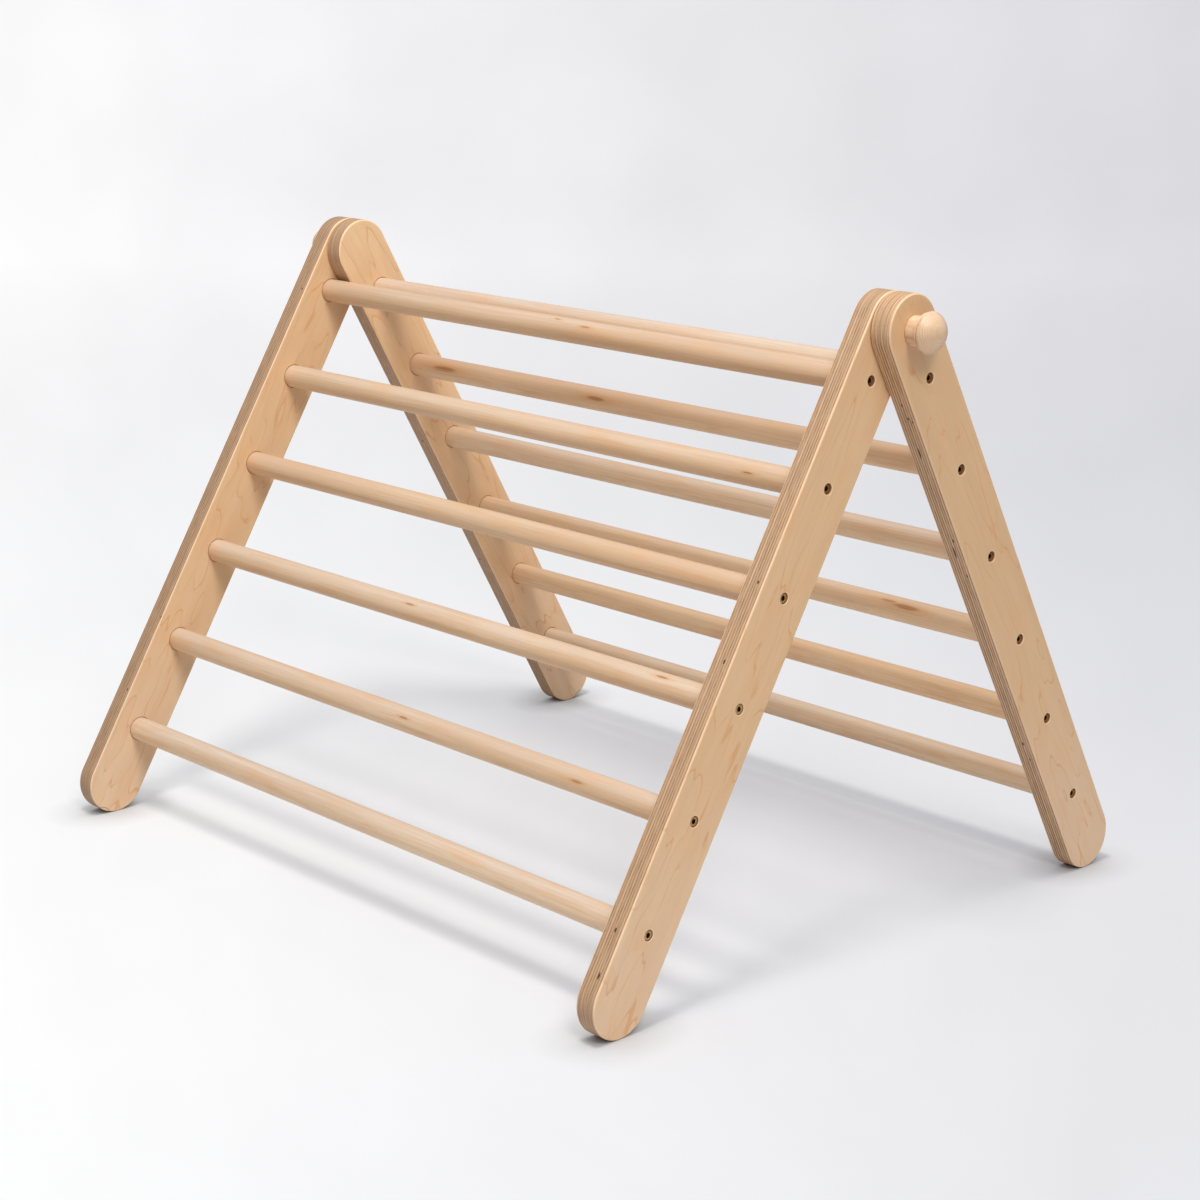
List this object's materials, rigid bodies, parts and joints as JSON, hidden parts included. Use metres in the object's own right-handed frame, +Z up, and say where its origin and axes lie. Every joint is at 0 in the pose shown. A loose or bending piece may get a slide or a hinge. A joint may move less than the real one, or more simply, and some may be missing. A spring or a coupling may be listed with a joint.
{
  "type": "folding climbing triangle",
  "caption": "A-frame for small children: two rung ladders of plywood rails and round dowels, hinged at the top on clamping wooden knobs.",
  "frame": {"origin": "on the floor, midway between the four feet", "axes": "+X along the rungs, +Y towards the rear ladder, +Z up"},
  "size_m": [1.0718, 0.8718, 0.7521],
  "materials": {
    "birch_plywood": "clear satin lacquer, striped ply edges",
    "rung_wood": "smooth oiled dowel",
    "knob_wood": "turned and sanded",
    "screw_brass": "yellow zinc plate",
    "zinc_steel": "zinc plated",
    "nylon": "matte"
  },
  "bodies": {
    "front_ladder": {"front_left_rail": "birch_plywood", "front_right_rail": "birch_plywood", "front_rung_1": "rung_wood", "front_rung_2": "rung_wood", "front_rung_3": "rung_wood", "front_rung_4": "rung_wood", "front_rung_5": "rung_wood", "front_rung_6": "rung_wood", "front_left_screws": "screw_brass", "front_right_screws": "screw_brass", "right_threaded_insert": "screw_brass", "left_spacer_washer": "nylon", "right_spacer_washer": "nylon"},
    "rear_ladder": {"rear_left_rail": "birch_plywood", "rear_right_rail": "birch_plywood", "rear_rung_1": "rung_wood", "rear_rung_2": "rung_wood", "rear_rung_3": "rung_wood", "rear_rung_4": "rung_wood", "rear_rung_5": "rung_wood", "rear_rung_6": "rung_wood", "rear_left_screws": "screw_brass", "rear_right_screws": "screw_brass", "left_threaded_insert": "screw_brass"},
    "left_washer": {"left_knob_washer": "zinc_steel"},
    "right_washer": {"right_knob_washer": "zinc_steel"},
    "left_hand_knob": {"left_knob": "knob_wood", "left_knob_stud": "zinc_steel"},
    "right_hand_knob": {"right_knob": "knob_wood", "right_knob_stud": "zinc_steel"}
  },
  "joints": [
    {"name": "ladder_fold", "type": "hinge", "parent": "front_ladder", "child": "rear_ladder", "pos_m": [0, 0, 0.7121], "axis": [1, 0, 0], "range_deg": [-1.2, 119]},
    {"name": "left_knob_draw", "type": "slide", "parent": "front_ladder", "child": "left_washer", "axis": [-1, 0, 0], "range_m": [0, 0.00375]},
    {"name": "left_knob_turn", "type": "hinge", "parent": "left_washer", "child": "left_hand_knob", "pos_m": [-0.4973, 0, 0.7121], "axis": [-1, 0, 0], "range_deg": [0, 1080]},
    {"name": "right_knob_draw", "type": "slide", "parent": "rear_ladder", "child": "right_washer", "axis": [1, 0, 0], "range_m": [0, 0.00375]},
    {"name": "right_knob_turn", "type": "hinge", "parent": "right_washer", "child": "right_hand_knob", "pos_m": [0.4973, 0, 0.7121], "axis": [1, 0, 0], "range_deg": [0, 1080]}
  ],
  "couplings": [
    {"joint": "left_knob_turn", "follows": "left_knob_draw", "rad_per_m": 5026.5},
    {"joint": "right_knob_turn", "follows": "right_knob_draw", "rad_per_m": 5026.5}
  ]
}
